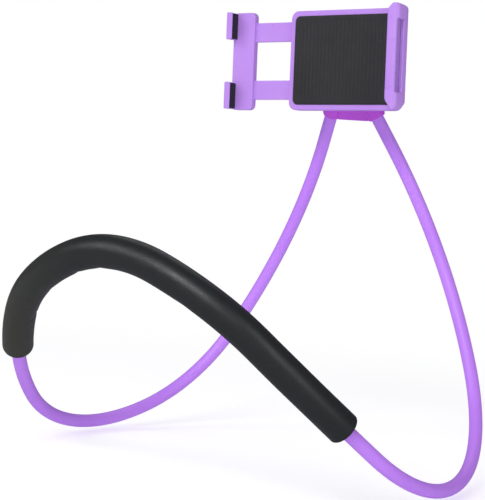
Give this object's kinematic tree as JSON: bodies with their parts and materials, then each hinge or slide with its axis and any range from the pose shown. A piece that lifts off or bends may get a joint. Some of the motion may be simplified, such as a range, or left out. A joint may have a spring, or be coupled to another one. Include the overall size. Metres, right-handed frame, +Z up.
{
  "type": "neck phone holder",
  "caption": "Hands-free neck phone holder: a bendable sleeved loop with a foam neck pad, a yoke and ball joint, and a sprung clamp that grips a phone by its ends.",
  "frame": {"origin": "centre of the rod and of the foam pad's section behind the neck, in the loop's mirror plane", "axes": "+X to the wearer's right, +Y forwards from the neck to the phone, +Z up as worn"},
  "size_m": [0.3148, 0.3215, 0.3307],
  "materials": {
    "foam": "matte closed-cell foam tube with a soft sheen",
    "sleeve": "satin soft elastomer, smooth",
    "core_wire": "bare bendable wire",
    "plastic": "moulded, semi-gloss",
    "soft_rubber": "matte",
    "steel": "zinc plated"
  },
  "bodies": {
    "neck": {"neck_pad": "foam", "neck_sleeve": "sleeve", "neck_core": "core_wire", "dip_sleeve_right": "sleeve", "dip_sleeve_left": "sleeve", "dip_core_right": "core_wire", "dip_core_left": "core_wire"},
    "arms": {"arm_sleeve_right": "sleeve", "arm_sleeve_left": "sleeve", "arm_core_right": "core_wire", "arm_core_left": "core_wire", "bend_sleeve_right": "sleeve", "bend_sleeve_left": "sleeve", "bend_core_right": "core_wire", "bend_core_left": "core_wire"},
    "yoke": {"top_sleeve_right": "sleeve", "top_sleeve_left": "sleeve", "top_core_right": "core_wire", "top_core_left": "core_wire", "ferrule_right": "core_wire", "ferrule_left": "core_wire", "yoke_front": "plastic", "yoke_rear": "plastic", "yoke_screws": "steel", "ball_stud": "plastic", "stud_screw": "steel"},
    "ball_seat": {"ball_seat": "soft_rubber"},
    "lock_nut": {"lock_nut": "plastic"},
    "clamp": {"body_front": "plastic", "body_rear": "plastic", "body_screws": "steel", "phone_bed": "soft_rubber", "fixed_jaw": "plastic", "jaw_screws": "steel", "fixed_jaw_pads": "soft_rubber", "spring_top": "steel", "spring_bottom": "steel"},
    "slider": {"sliding_jaw": "plastic", "finger_pads": "soft_rubber"}
  },
  "joints": [
    {"name": "arm_bend", "type": "hinge", "parent": "neck", "child": "arms", "pos_m": [0, 0.16353, -0.14333], "axis": [1, 0, 0], "range_deg": [-30, 25], "deforming": ["dip_sleeve_right", "dip_sleeve_left", "dip_core_right", "dip_core_left"]},
    {"name": "head_bend", "type": "hinge", "parent": "arms", "child": "yoke", "pos_m": [0, 0.30171, 0.03818], "axis": [1, 0, 0], "range_deg": [-20, 20], "deforming": ["bend_sleeve_right", "bend_sleeve_left", "bend_core_right", "bend_core_left"]},
    {"name": "clamp_tilt", "type": "hinge", "parent": "yoke", "child": "ball_seat", "pos_m": [0, 0.24615, 0.13971], "axis": [1, 0, 0], "range_deg": [-12, 32]},
    {"name": "clamp_pan", "type": "hinge", "parent": "ball_seat", "child": "lock_nut", "pos_m": [0, 0.24615, 0.13971], "axis": [0, 0, 1], "range_deg": [-15, 15]},
    {"name": "clamp_swivel", "type": "hinge", "parent": "lock_nut", "child": "clamp", "pos_m": [0, 0.24615, 0.13971], "axis": [0, 1, 0], "continuous": true},
    {"name": "jaw_slide", "type": "slide", "parent": "clamp", "child": "slider", "axis": [-0.999, 0, -0.0454], "range_m": [-0.028, 0.022], "deforming": ["spring_top", "spring_bottom"]}
  ]
}
